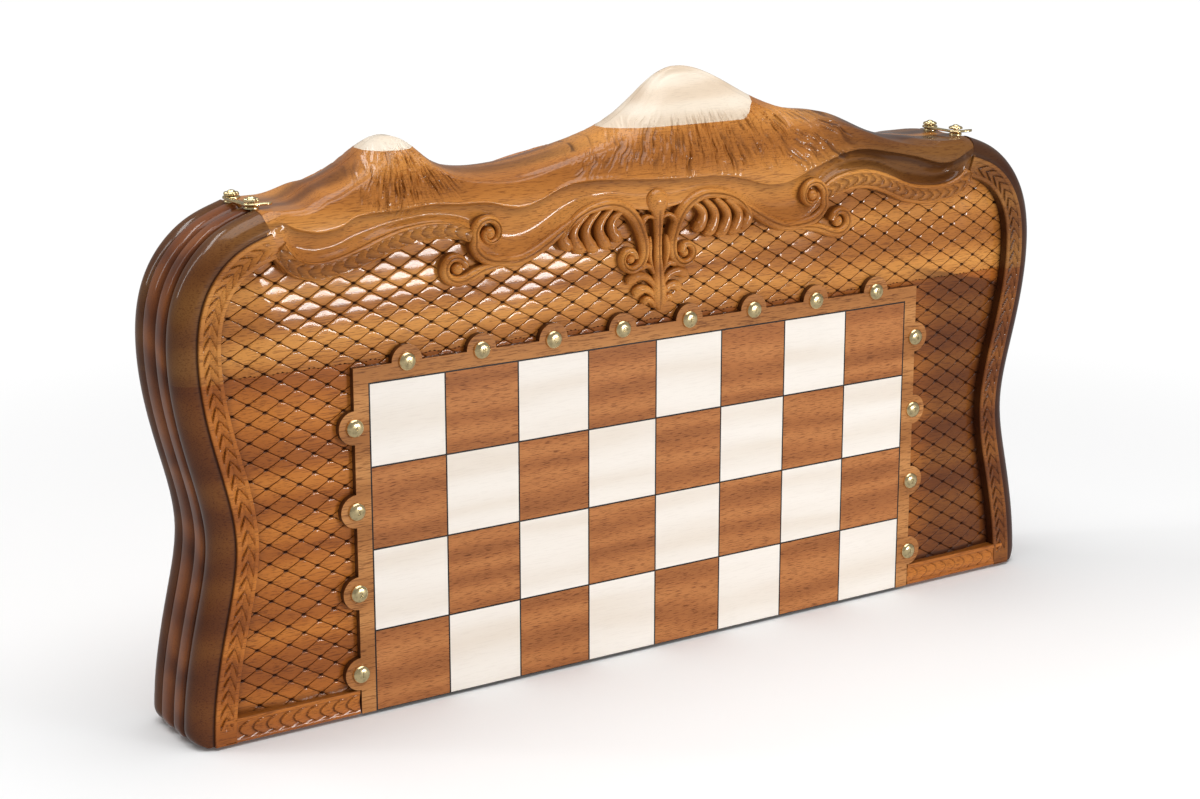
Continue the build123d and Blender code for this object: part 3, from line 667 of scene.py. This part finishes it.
def make_crest():
    xs = np.concatenate([np.linspace(-259.5, -215, 50)[:-1], np.linspace(-215, -120, 190)[:-1],
                         np.linspace(-120, -70, 45)[:-1], np.linspace(-70, 165, 450)[:-1],
                         np.linspace(165, 259.5, 85)])
    low, band, lip, top = band_low(xs), band_high(xs), crease(xs), skyline(xs)
    lip = np.minimum(lip, top - 6)
    band = np.minimum(band, lip - 3)
    low = np.minimum(low, band - 2)
    end = smoothstep(240, 254, np.abs(xs))
    roll = smoothstep(140, 165, xs) * smoothstep(252, 235, xs)
    deep = (4.6 + 2.2 * roll) * (1 - end) * (1 - 0.55 * smoothstep(-60, -40, xs) * smoothstep(90, 60, xs))
    hill = smoothstep(236, 205, np.abs(xs))
    lines = [
        (low, low * 0 + 7.0),
        (low + 0.3, low * 0 + 2.0),
        (low * 0.6 + band * 0.4, low * 0 + 1.4),
        (band, 1.8 + 0 * low),
        (band * 0.62 + lip * 0.38, 1.0 + deep),
        (band * 0.25 + lip * 0.75, 0.8 + deep * 0.75),
        (lip - 0.7, 1.2 + deep * 0.35),
        (lip + 0.5, 0.5 + 0 * low),
        (lip * 0.85 + top * 0.15, lean(lip * 0.85 + top * 0.15) * (0.55 - 0.4 * roll)),
        (lip * 0.6 + top * 0.4, lean(lip * 0.6 + top * 0.4) * (0.8 - 0.45 * roll)),
        (lip * 0.3 + top * 0.7, lean(lip * 0.3 + top * 0.7) * 0.95),
        (top - 3.0 - 3.2 * hill, lean(top) * 0.98 - 0.6 + 1.5 * hill),
        (top - 0.9 - 3.0 * hill, lean(top) + 1.0 + (5.2 - 0.12 * lean(top)) * hill),
        (top - 0.05 - 1.0 * hill, lean(top) * (0.9 - 0.45 * hill) + 4.2 + 15.5 * hill),
        (top, np.maximum(lean(top) * 0.9 + 6.5, 20.0) * 0.5 + 0.5 * wood_depth + 2.0 * hill),
    ]
    z_lines = np.stack([a for a, _ in lines])
    d_lines = np.stack([np.maximum(b, 0.0) for _, b in lines])
    counts = [3, 3, 4, 6, 6, 5, 4, 8, 11, 14, 12, 9, 6, 5]
    z_rows, d_rows = [], []
    for k, count in enumerate(counts):
        i0, i3 = max(k - 1, 0), min(k + 2, len(lines) - 1)
        for t in np.linspace(0, 1, count, endpoint=False):
            w = (-0.5 * t + t * t - 0.5 * t**3, 1 - 2.5 * t * t + 1.5 * t**3,
                0.5 * t + 2 * t * t - 1.5 * t**3, -0.5 * t * t + 0.5 * t**3)
            z_rows.append(sum(c * z_lines[i] for c, i in zip(w, (i0, k, k + 1, i3))))
            d_rows.append(sum(c * d_lines[i] for c, i in zip(w, (i0, k, k + 1, i3))))
    z_rows.append(z_lines[-1])
    d_rows.append(d_lines[-1])
    z = np.stack(z_rows, axis=1)
    d = np.stack(d_rows, axis=1)
    x = np.broadcast_to(xs[:, None], z.shape)
    # Towards both ends the front takes the ovolo's section
    rise = wood_bottom + 292.5 + 0.35 * (257 - np.abs(x))
    over = np.clip((z - rise - 0.8) / 11.1, 0, 1)
    ovolo = np.where(z > rise, 2.0 + 11.5 * (1 - np.sqrt(1 - over**2)), 1.5)
    d = d * (1 - end[:, None]) + np.maximum(ovolo, d) * end[:, None]
    rock, share = furrows(x, z)
    rock = rock - (rock * share).sum() / share.sum()
    front = smoothstep(wood_depth - 3, wood_depth - 12, d)
    wave = 0.9 * noise(x / 30 + 5, z / 15) * smoothstep(lip[:, None] + 4, lip[:, None] + 14, z) * front
    share = share * smoothstep(cap_seam_z + 12, cap_seam_z + 1, z)
    front = smoothstep(wood_depth - 0.5, wood_depth - 5, d)
    d = np.clip(d - rock * 1.3 * share * front + wave * 0.8, 0.0, wood_depth - 0.3)
    hatch = 0.22 * noise(x / 7 + 1.5, z / 9 + 40) * (z > cap_seam_z + 1.5)
    d = np.where(z > cap_seam_z + 1.5, d + hatch * front, d)
    stain = np.clip((-0.1 - rock) * 0.8, 0, 0.45) * share * (z < cap_seam_z)
    stain += 0.72 * smoothstep(100, 185, x)
    stain += 0.5 * smoothstep(16, 24, d) * smoothstep(328, 318, z)
    # Painted shade in the cove just under the crease
    under = smoothstep(lip[:, None] - 7, lip[:, None] - 0.5, z) * smoothstep(lip[:, None] + 0.5,
        lip[:, None] - 0.5, z)
    stain = np.clip(stain + 0.4 * under, 0, 0.9)
    rear = [(top, wood_depth), (top * 0 + hollow_top, wood_depth),
        (top * 0 + hollow_top, board_thickness + 0.05),
            (np.minimum(low, hollow_top - 1), board_thickness)]
    z = np.concatenate([z] + [r[0][:, None] for r in rear], axis=1)
    d = np.concatenate([d] + [np.full((len(xs), 1), r[1]) for r in rear], axis=1)
    stain = np.concatenate([stain, np.zeros((len(xs), 4))], axis=1)
    x = np.broadcast_to(xs[:, None], z.shape)
    rows, columns = z.shape
    faces = tube_faces(rows, columns)
    return new_mesh(np.stack([x, d, z], axis=-1).reshape(-1, 3), faces, stain.ravel())


# Carved ribbons: scrolls, bands and leaves
ribbon_ground = 3.2
bead_ground = 3.0
ornament_axis = 0.03


def ribbon(path, width, height, rings=13, carve=None, groove=0.0, count=None):
    """Raised ribbon along a path (x, z), with its width and height as functions of the share of its run."""
    length = np.linalg.norm(np.diff(np.array(path, float), axis=0), axis=1).sum()
    count = count or max(int(length / 0.9), 12)
    line = smooth_line(path, count)
    along = np.gradient(line, axis=0)
    along /= np.maximum(np.linalg.norm(along, axis=1), 1e-9)[:, None]
    across = np.stack([-along[:, 1], along[:, 0]], axis=1)
    share = np.linspace(0, 1, count)
    run = share * length
    wide = np.maximum(np.array([width(s) for s in share]), 0.12) / 2
    high = np.array([height(s) for s in share])
    angle = np.linspace(-math.pi / 2, math.pi / 2, rings)
    o = np.sin(angle)[None, :] * wide[:, None]
    bulge = np.cos(angle)[None, :] ** 0.75
    d = ribbon_ground - high[:, None] * bulge
    stain = np.zeros_like(d)
    if groove:
        mark = np.exp(-((np.sin(angle)[None, :]) / 0.16) ** 2)
        d = d + groove * mark * smoothstep(0, 0.1, share)[:, None] * smoothstep(1, 0.85, share)[:, None]
        stain += 0.45 * mark
    if carve is not None:
        cut_depth = carve(run[:, None], o) * (bulge > 0.35)
        d = d + cut_depth
        stain += 0.5 * np.clip(cut_depth / 1.2, 0, 1)
    # Painted shade on the ribbon's steep sides, where it meets the ground
    stain += 0.6 * (bulge < 0.35)
    x = line[:, 0:1] + across[:, 0:1] * o
    z = line[:, 1:2] + across[:, 1:2] * o
    low_x = np.stack([x[:, -1], x[:, 0]], axis=1)
    low_z = np.stack([z[:, -1], z[:, 0]], axis=1)
    low_d = np.full_like(low_x, 9.0)
    x, z, d = (np.concatenate([a, b], axis=1) for a, b in ((x, low_x), (z, low_z), (d, low_d)))
    stain = np.concatenate([stain, np.zeros((count, 2))], axis=1)
    columns = rings + 2
    faces = tube_faces(count, columns)
    return new_mesh(np.stack([x, d, z], axis=-1).reshape(-1, 3), faces, np.clip(stain, 0, 0.9).ravel())


def flipped_path(path):
    return [(2 * ornament_axis * square - x, z) for x, z in path]


def bead(cx, cz, radius, top=-0.6):
    """Rounded knob on the face."""
    rings, spokes = 9, 26
    points, stain = [], []
    for i in range(rings):
        t = i / (rings - 1) * math.pi / 2
        for j in range(spokes):
            a = 2 * math.pi * j / spokes
            r = radius * math.sin(t)
            points.append((cx + r * math.cos(a), top + (bead_ground - top) * (1 - math.cos(t)) ** 0.9,
                cz + r * math.sin(a)))
            # Painted shade round the knob's foot
            stain.append(0.5 if i == rings - 1 else 0.0)
    for j in range(spokes):
        a = 2 * math.pi * j / spokes
        points.append((cx + radius * math.cos(a), 9.0, cz + radius * math.sin(a)))
        stain.append(0.4)
    faces = [tuple(f) for f in grid_faces(rings + 1, spokes, closed_columns=True)]
    faces.append(tuple(range(rings * spokes, (rings + 1) * spokes)))
    bm = new_mesh(points, faces, stain)
    bmesh.ops.remove_doubles(bm, verts=bm.verts[:], dist=1e-4)
    return bm


def spiral(cx, cz, start_radius, end_radius, start_angle, turns, steps=22):
    """Points of a volute round a centre, angles in degrees."""
    points = []
    for i in range(steps + 1):
        t = i / steps
        r = start_radius + (end_radius - start_radius) * t
        a = math.radians(start_angle + 360 * turns * t)
        points.append((cx + r * math.cos(a), cz + r * math.sin(a)))
    return points


def make_bands():
    """Leaf-chain bands along both sides of the crest."""
    parts = []
    for left in (True, False):
        xs = np.linspace(-253, -131, 30) if left else np.linspace(131, 254, 30)
        low, high = band_low(xs), band_high(xs)
        centre = [(x, (a + b) / 2) for x, a, b in zip(xs, low, high)]
        order = centre if left else centre[::-1]
        line = np.array(order)
        slope = np.gradient(line, axis=0)
        tilt = np.abs(slope[:, 0]) / np.maximum(np.linalg.norm(slope, axis=1), 1e-6)
        gap = (high - low)[:: 1 if left else -1] * tilt
        shares = np.linspace(0, 1, len(gap))

        def width(s, shares=shares, gap=gap):
            return float(np.interp(s, shares, np.clip(gap * 1.12, 8, 13)))

        def carve(run, o):
            a = np.abs(o)
            bend = run / 7.4 - 0.055 * a * a
            phase = bend - np.floor(bend)
            inside = smoothstep(3.7, 3.0, a)
            return inside * (1.25 - 1.15 * phase ** 1.3) + 0.9 * np.exp(-((a - 3.8) / 0.4) ** 2)

        parts.append(ribbon(order, width, lambda s: 4.6, rings=27, carve=carve, count=230))
    return joined(*parts)


def make_scrolls():
    """S-lines, C-scrolls, volutes and small leaves of the crest's ornament."""
    parts = []
    shared = []
    # Upper volute that runs into the S-line and on to the C-scroll
    volute = spiral(*sq(-2.36, 5.575), 3.2, 10.2, -205, 1.12, 20)
    tail = [sq(*p) for p in ((-2.56, 5.44), (-2.51, 5.35), (-2.40, 5.27), (-2.18, 5.225), (-1.96, 5.22),
        (-1.75, 5.285),
                             (-1.49, 5.425), (-1.24, 5.575), (-1.02, 5.68), (-0.87, 5.735))]
    shared.append((volute + tail, lambda s: 3.2 + 4.2 * min(s * 2.2, 1) - 3.6 * max(0, s - 0.72) / 0.28,
        lambda s: 4.4, 0.9))
    # Lower curl under the volute
    curl = [sq(*p) for p in ((-2.68, 5.22), (-2.75, 5.31), (-2.86, 5.33), (-2.95, 5.25), (-2.95, 5.14),
        (-2.85, 5.06),
                             (-2.70, 5.06), (-2.52, 5.13), (-2.36, 5.17), (-2.16, 5.19), (-1.98, 5.21))]
    shared.append((curl, lambda s: 4.6 + 2.2 * math.sin(math.pi * s) - 2.4 * max(0, s - 0.7) / 0.3,
        lambda s: 4.2, 0.8))
    # C-scroll arch that ends in an inner volute
    arch = [sq(*p) for p in ((-1.36, 5.40), (-1.27, 5.54), (-1.12, 5.66), (-0.88, 5.74), (-0.69, 5.755),
        (-0.51, 5.71),
                             (-0.34, 5.58), (-0.22, 5.36), (-0.175, 5.14), (-0.22, 4.99), (-0.33, 4.92),
                             (-0.45, 4.95),
                             (-0.50, 5.06), (-0.44, 5.15), (-0.35, 5.14), (-0.31, 5.06))]
    shared.append((arch, lambda s: 3.0 + 5.0 * math.sin(math.pi * min(s * 1.15, 1) * 0.9), lambda s: 5.2,
        1.0))
    # Acanthus fingers that hang from the arch and swell towards their tips
    for tip, root, belly in (
        ((-1.27, 5.31), (-1.15, 5.60), (-1.34, 5.45)), ((-1.09, 5.25), (-1.00, 5.66), (-1.20, 5.43)),
        ((-0.90, 5.24), (-0.83, 5.69), (-1.02, 5.43)), ((-0.72, 5.27), (-0.66, 5.69), (-0.83, 5.46)),
        ((-0.56, 5.34), (-0.50, 5.66), (-0.65, 5.50)),
    ):
        hook = (tip[0] + 0.06, tip[1] - 0.01)
        path = [sq(*p) for p in (root, belly, ((belly[0] + tip[0]) / 2 - 0.03, (belly[1] + tip[1]) / 2),
            tip, hook)]
        shared.append((path, lambda s: float(np.interp(s, [0, 0.5, 0.8, 0.93, 1],
            [3.4, 6.2, 8.4, 6.6, 1.5])),
                       lambda s: float(np.interp(s, [0, 0.5, 0.85, 1], [3.6, 4.6, 5.2, 3.2])), 0.0))
    # Fan of small leaves beside the stem's foot
    for points, size in (
        (((-0.02, 4.42), (-0.08, 4.50), (-0.14, 4.52), (-0.18, 4.46)), 5.8),
        (((-0.02, 4.52), (-0.12, 4.64), (-0.24, 4.65), (-0.31, 4.58)), 7.2),
        (((-0.02, 4.68), (-0.14, 4.80), (-0.31, 4.82), (-0.42, 4.75)), 7.6),
        (((-0.04, 4.84), (-0.10, 4.93), (-0.20, 4.94), (-0.26, 4.90)), 5.2),
        (((-0.04, 4.86), (-0.085, 4.98), (-0.105, 5.12), (-0.09, 5.30)), 4.2),
        (((-0.03, 5.52), (-0.12, 5.55), (-0.20, 5.50), (-0.23, 5.42)), 4.2),
    ):
        path = [sq(*p) for p in points]
        shared.append((path, lambda s,
            size=size: size * float(np.interp(s, [0, 0.5, 0.8, 0.94, 1], [0.5, 0.75, 1.0, 0.8, 0.2])),
                       lambda s: float(np.interp(s, [0, 0.7, 1], [3.8, 4.8, 3.0])), 0.0))
    for path, width, height, groove in shared:
        parts.append(ribbon(path, width, height, groove=groove))
        parts.append(ribbon(flipped_path(path), width, height, groove=groove))
    stem = [sq(*p) for p in ((0.03, 5.66), (0.03, 5.47), (0.03, 5.3), (0.03, 5.0), (0.04, 4.7),
        (0.045, 4.37))]
    parts.append(ribbon(stem, lambda s: float(np.interp(s, [0, 0.12, 0.3, 0.5, 0.7, 0.85, 0.94, 1],
                                                      [12.0, 8.0, 5.8, 6.0, 10.0, 12.0, 9.5, 2.0])),
                        lambda s: float(np.interp(s, [0, 0.4, 0.85, 1], [4.6, 4.4, 5.6, 4.0])),
                        groove=0.9, rings=17, count=90))
    parts.append(bead(*sq(ornament_axis, 5.72), 8.2, top=-2.6))
    for x, z, radius, top in ((2.36, 5.575, 4.0, -1.6), (2.79, 5.20, 3.8, -1.2), (0.37, 5.05, 3.2, -1.2)):
        for centre in (-x, 2 * ornament_axis + x):
            parts.append(bead(*sq(centre, z), radius, top=top))
    return joined(*parts)


lower_quilt = make_quilt(10.0, seam_z)
upper_quilt = make_quilt(seam_z, 300.0)
ring = make_ring()
left_ring = mirrored(ring)
right_tone = ring.verts.layers.float["stain"]
for vert in ring.verts:
    vert[right_tone] = min(vert[right_tone] + 0.52, 0.94)
ring = joined(ring, left_ring)
strips = make_strip()
strips = joined(strips, mirrored(strips))
lower_ring = joined(cut(ring, (0, 0, seam_z), (0, 0, 1), keep_front=False), strips)
upper_ring = cut(ring, (0, 0, seam_z), (0, 0, 1))
crest = make_crest()
valley_x = -104
large_cap_end_x = 76
peaks = cut(crest, (0, 0, cap_seam_z), (0, 0, 1))
crest_body = cut(crest, (0, 0, cap_seam_z), (0, 0, 1), keep_front=False)
small_cap = cut(peaks, (valley_x, 0, 0), (1, 0, 0), keep_front=False)
large_peak = cut(peaks, (valley_x, 0, 0), (1, 0, 0))
slope = math.radians(50)
slope_normal = (math.cos(slope), 0, -math.sin(slope))
large_cap = cut(large_peak, (large_cap_end_x, 0, cap_seam_z), slope_normal, keep_front=False)
saddle = cut(large_peak, (large_cap_end_x, 0, cap_seam_z), slope_normal)
crest_body = joined(crest_body, saddle)
crest_face = cut(crest_body, (0, board_thickness, 0), (0, 1, 0), keep_front=False)
crest_rail = cut(crest_body, (0, board_thickness, 0), (0, 1, 0))
bands = make_bands()
scrolls = make_scrolls()

rail = make_rail()
rails = joined(rail, mirrored(rail))
stud_row = 210.0
stud_places = [(square * (i - 3.5), stud_row + wood_bottom) for i in range(8)]
stud_places += [(s * stud_row, wood_bottom + square * (j + 0.5)) for s in (-1, 1) for j in range(4)]
dome = [(0.9, -12.0), (0.9, -0.05), (5.65, -0.02), (5.65, 0.4), (5.55, 0.95), (5.25, 1.5), (4.75, 2.0),
    (4.1, 2.4), (3.3, 2.72),
        (2.4, 2.92), (1.4, 3.02), (0.6, 3.05), (0.05, 3.06)]
studs = joined(*[lathe((x, 0.0, z), "d", dome) for x, z in stud_places])
post = [(1.2, -11.0), (1.2, 0.0), (4.2, 0.02), (4.2, 0.9), (3.9, 1.3), (1.9, 1.42), (1.6, 1.6),
    (1.6, 3.7), (2.6, 3.8), (4.2, 3.95),
        (4.4, 4.5), (4.25, 5.2), (3.7, 5.75), (3.0, 5.9), (2.5, 5.8), (2.2, 6.1), (1.8, 6.6), (1.0, 6.9),
        (0.1, 6.98)]
posts = joined(*[lathe((x, half_depth - post_y, land_z), "z", post, 64, 8, 0.07) for x in (-post_x,
    post_x)])

half_pieces = (
    ("lower_quilt", lower_quilt, carved_lower, "carved_wood", "lower_face_board"),
    ("upper_quilt", upper_quilt, carved_upper, "carved_wood", "upper_face_board"),
    ("lower_border", lower_ring, carved_lower, "carved_wood", "lower_face_board"),
    ("upper_border", upper_ring, carved_upper, "carved_wood", "upper_face_board"),
    ("crest_face", crest_face, carved_upper, "carved_wood", "upper_face_board"),
    ("crest_rail", crest_rail, carved_upper, "carved_wood", "top_rail"),
    ("large_cap", large_cap, cap_wood, "pale_wood", "large_peak_cap"),
    ("small_cap", small_cap, cap_wood, "pale_wood", "small_peak_cap"),
    ("leaf_bands", bands, carved_upper, "carved_wood", "upper_face_board"),
    ("scrollwork", scrolls, carved_upper, "carved_wood", "upper_face_board"),
)
for side in (1, -1):
    finish_piece("rails", rails, side, rail_wood_painted_shade, "carved_wood", ["right_rail", "left_rail"])
    finish_piece("domed_studs", studs, side, brass, "brass", ["studs"], angle=50)
    rosettes = finish_piece("rosette_posts", posts, side, brass, "brass", [], angle=50)
    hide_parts("catch_posts" if side > 0 else "hook_pivots")
    for name, bm, material, slot, replaced in half_pieces:
        finish_piece(name, bm, side, material, slot, [replaced])

# Hooks of the latches: an eye round its post, an arm, a curl round the catch post and a leaf-shaped tail
def make_hook(x):
    under, over = land_z + 1.75, land_z + 3.45
    eye = [(x + 3.6 * math.cos(k * math.pi / 24), post_y + 3.6 * math.sin(k * math.pi / 24),
        3.2) for k in range(48)]
    arm = [(x - 3.7, 12.0, 3.2), (x - 3.9, 6.0, 3.3), (x - 3.9, 0.0, 3.3), (x - 3.8, -6.0, 3.3),
        (x - 3.75, -11.0, 3.2)]
    for k in range(1, 8):
        a = math.radians(180 + 90 * k / 7)
        arm.append((x + 3.75 * math.cos(a), -post_y + 3.75 * math.sin(a), 3.2))
    arm += [(x + 3.0, -16.9, 2.8), (x + 5.0, -17.0, 3.2), (x + 7.0, -17.0, 4.2), (x + 9.0, -17.0, 3.6),
        (x + 10.6, -17.0, 1.2)]
    parts = []
    for line, closed in ((np.array(eye), True), (smooth_line(arm, 70), False)):
        along = np.gradient(line[:, :2], axis=0)
        if closed:
            along = np.roll(line[:, :2], -1, axis=0) - np.roll(line[:, :2], 1, axis=0)
        along /= np.linalg.norm(along, axis=1)[:, None]
        points = []
        for (px, py, wide), (ax, ay) in zip(line, along):
            for k in range(12):
                a = 2 * math.pi * k / 12
                o = math.copysign(abs(math.cos(a)) ** 0.7, math.cos(a)) * wide / 2
                h = math.copysign(abs(math.sin(a)) ** 0.7, math.sin(a)) * (over - under) / 2
                points.append((px - ay * o, half_depth + py + ax * o, (under + over) / 2 + h))
        skin = grid_faces(len(line), 12, True, True) if closed else tube_faces(len(line), 12)
        parts.append(new_mesh(points, skin))
    return joined(*parts)


for body, x in (("left_hook", -post_x), ("right_hook", post_x)):
    hook = finish_piece(f"{body}_curl", make_hook(x), 1, brass, "brass", [], angle=60, body=body)
    hook.name = f"{body}_curl"
    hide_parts(body)

# Plain letters and numbers of the chess field, raised on the studs
old_brass = brass_material("worn_brass", (0.50, 0.37, 0.17))


def stud_mark(body, place, side):
    """Points and faces of one raised letter or number."""
    curve = bpy.data.curves.new("mark", "FONT")
    curve.body = body
    curve.size = 0.0046
    curve.extrude = 0.00012
    curve.align_x = "CENTER"
    curve.align_y = "CENTER"
    carrier = bpy.data.objects.new("mark", curve)
    mesh = bpy.data.meshes.new_from_object(carrier)
    for v in mesh.vertices:
        x, y, z = v.co
        v.co = (place[0] * 0.001 + side * x, -side * (half_depth * 0.001 + 0.00302 + z),
            place[1] * 0.001 + y)
    bpy.data.objects.remove(carrier)
    return mesh


for side in (1, -1):
    marks = bmesh.new()
    top_names = "ABCDEFGH" if side > 0 else "HGFEDCBA"
    side_names = "4321" if side > 0 else "5678"
    names = list(top_names) + list(side_names)[::-1] * 2
    for body, place in zip(names, stud_places):
        marks.from_mesh(stud_mark(body, place, side))
    bmesh.ops.remove_doubles(marks, verts=marks.verts[:], dist=1e-7)
    bmesh.ops.recalc_face_normals(marks, faces=marks.faces[:])
    half_name = "front" if side > 0 else "back"
    mark_mesh = bpy.data.meshes.new(f"{half_name}_stud_marks")
    marks.to_mesh(mark_mesh)
    mark_mesh.materials.append(old_brass)
    mark_object = bpy.data.objects.new(f"{half_name}_stud_marks", mark_mesh)
    bpy.context.scene.collection.objects.link(mark_object)
    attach(mark_object, f"{half_name}_half")

# Finish of the carried-over nodes
node_finish = {
    "chess_panel": panel_wood, "dark_squares": brown_square, "light_squares": cream_square,
    "stringing": black_wood,
    "hinge_rail": rail_wood_painted_shade, "playing_board": field_wood, "light_points": cream_square,
    "dark_points": brown_square,
    "hinge_leaves": brass, "hinge_screws": brass, "hinge_pins": brass,
}
for name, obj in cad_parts.items():
    finish = node_finish.get(name.replace("front_", "").replace("back_", ""))
    if finish is not None:
        for k in range(len(obj.material_slots)):
            obj.material_slots[k].material = finish
        if not obj.material_slots:
            obj.data.materials.append(finish)

for name in ("front_hinge_leaves", "back_hinge_leaves"):
    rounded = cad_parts[name].modifiers.new("rounded", "BEVEL")
    rounded.width = 0.0003
    rounded.segments = 2
    rounded.limit_method = "ANGLE"

# Stage
floor_mesh = bpy.data.meshes.new("floor")
floor_mesh.from_pydata([(-6, -6, 0), (6, -6, 0), (6, 6, 0), (-6, 6, 0)], [], [(0, 1, 2, 3)])
floor = bpy.data.objects.new("floor", floor_mesh)
bpy.context.scene.collection.objects.link(floor)
floor_material, _, floor_shader = new_material("floor_white")
floor_shader.inputs["Base Color"].default_value = (0.93, 0.93, 0.93, 1)
floor_shader.inputs["Roughness"].default_value = 0.9
floor_shader.inputs["Specular IOR Level"].default_value = 0.1
# Far from the object the floor fades into plain white
floor_tree = floor_material.node_tree
floor_place = node(floor_tree, "ShaderNodeTexCoord").outputs["Object"]
floor_far = node(floor_tree, "ShaderNodeVectorMath", {0: floor_place}, operation="LENGTH").outputs["Value"]
floor_fade = node(floor_tree, "ShaderNodeMapRange",
    {"Value": floor_far, "From Min": 0.42, "From Max": 1.0}, interpolation_type="SMOOTHSTEP").outputs[0]
floor_ray = node(floor_tree, "ShaderNodeLightPath").outputs["Is Camera Ray"]
floor_glow = node(floor_tree, "ShaderNodeEmission",
    {"Color": (1, 1, 1, 1), "Strength": maths(floor_tree, "ADD",
        maths(floor_tree, "MULTIPLY", floor_ray, 0.5), 0.52)}).outputs[0]
floor_dim = node(floor_tree, "ShaderNodeEmission", {"Color": (1, 1, 1, 1), "Strength": 0.42}).outputs[0]
floor_mix = node(floor_tree, "ShaderNodeMixShader",
    {0: floor_fade, 1: floor_shader.outputs[0], 2: floor_glow}).outputs[0]
floor_glossy = floor_tree.nodes["Light Path"].outputs["Is Glossy Ray"]
floor_mix = node(floor_tree, "ShaderNodeMixShader",
    {0: floor_glossy, 1: floor_mix, 2: floor_dim}).outputs[0]
floor_tree.links.new(floor_mix, floor_tree.nodes["Material Output"].inputs["Surface"])
floor_mesh.materials.append(floor_material)

world = bpy.data.worlds.new("studio")
bpy.context.scene.world = world
world.use_nodes = True
background = world.node_tree.nodes["Background"]
background.inputs["Color"].default_value = (1, 1, 1, 1)
paths = world.node_tree.nodes.new("ShaderNodeLightPath")
seen = maths(world.node_tree, "MULTIPLY", paths.outputs["Is Camera Ray"], 0.68)
shone = maths(world.node_tree, "MULTIPLY", paths.outputs["Is Glossy Ray"], -0.08)
world.node_tree.links.new(maths(world.node_tree, "ADD", maths(world.node_tree, "ADD", seen, shone), 0.34),
    background.inputs["Strength"])


def soft_light(name, place, aim, width, height, power):
    light = bpy.data.lights.new(name, "AREA")
    light.shape = "RECTANGLE"
    light.size = width
    light.size_y = height
    light.energy = power
    obj = bpy.data.objects.new(name, light)
    bpy.context.scene.collection.objects.link(obj)
    obj.location = place
    obj.rotation_euler = (Vector(aim) - Vector(place)).to_track_quat("-Z", "Y").to_euler()


soft_light("overhead", (0.1, -0.3, 2.2), (0, 0, 0), 2.0, 1.8, 33)
soft_light("front_key", (0.62, -1.5, 0.29), (-0.1, 0, 0.2), 0.5, 0.2, 10.5)
soft_light("top_left", (-1.0, 0.75, 1.9), (-0.25, 0, 0.28), 1.1, 0.3, 9)
soft_light("left_back", (-1.3, 0.7, 1.0), (-0.3, 0, 0.25), 0.12, 0.9, 2.5)

camera_data = bpy.data.cameras.new("camera")
camera = bpy.data.objects.new("camera", camera_data)
bpy.context.scene.collection.objects.link(camera)
bpy.context.scene.camera = camera
camera_data.sensor_width = 36
camera_data.lens = 70.49
camera_data.clip_start = 0.05
camera.location = (-0.80676, -1.19553, 0.53269)
look = Vector((0.53254, 0.80784, -0.25259))
camera.rotation_euler = look.to_track_quat("-Z", "Y").to_euler()
bpy.context.scene.view_settings.view_transform = "Standard"
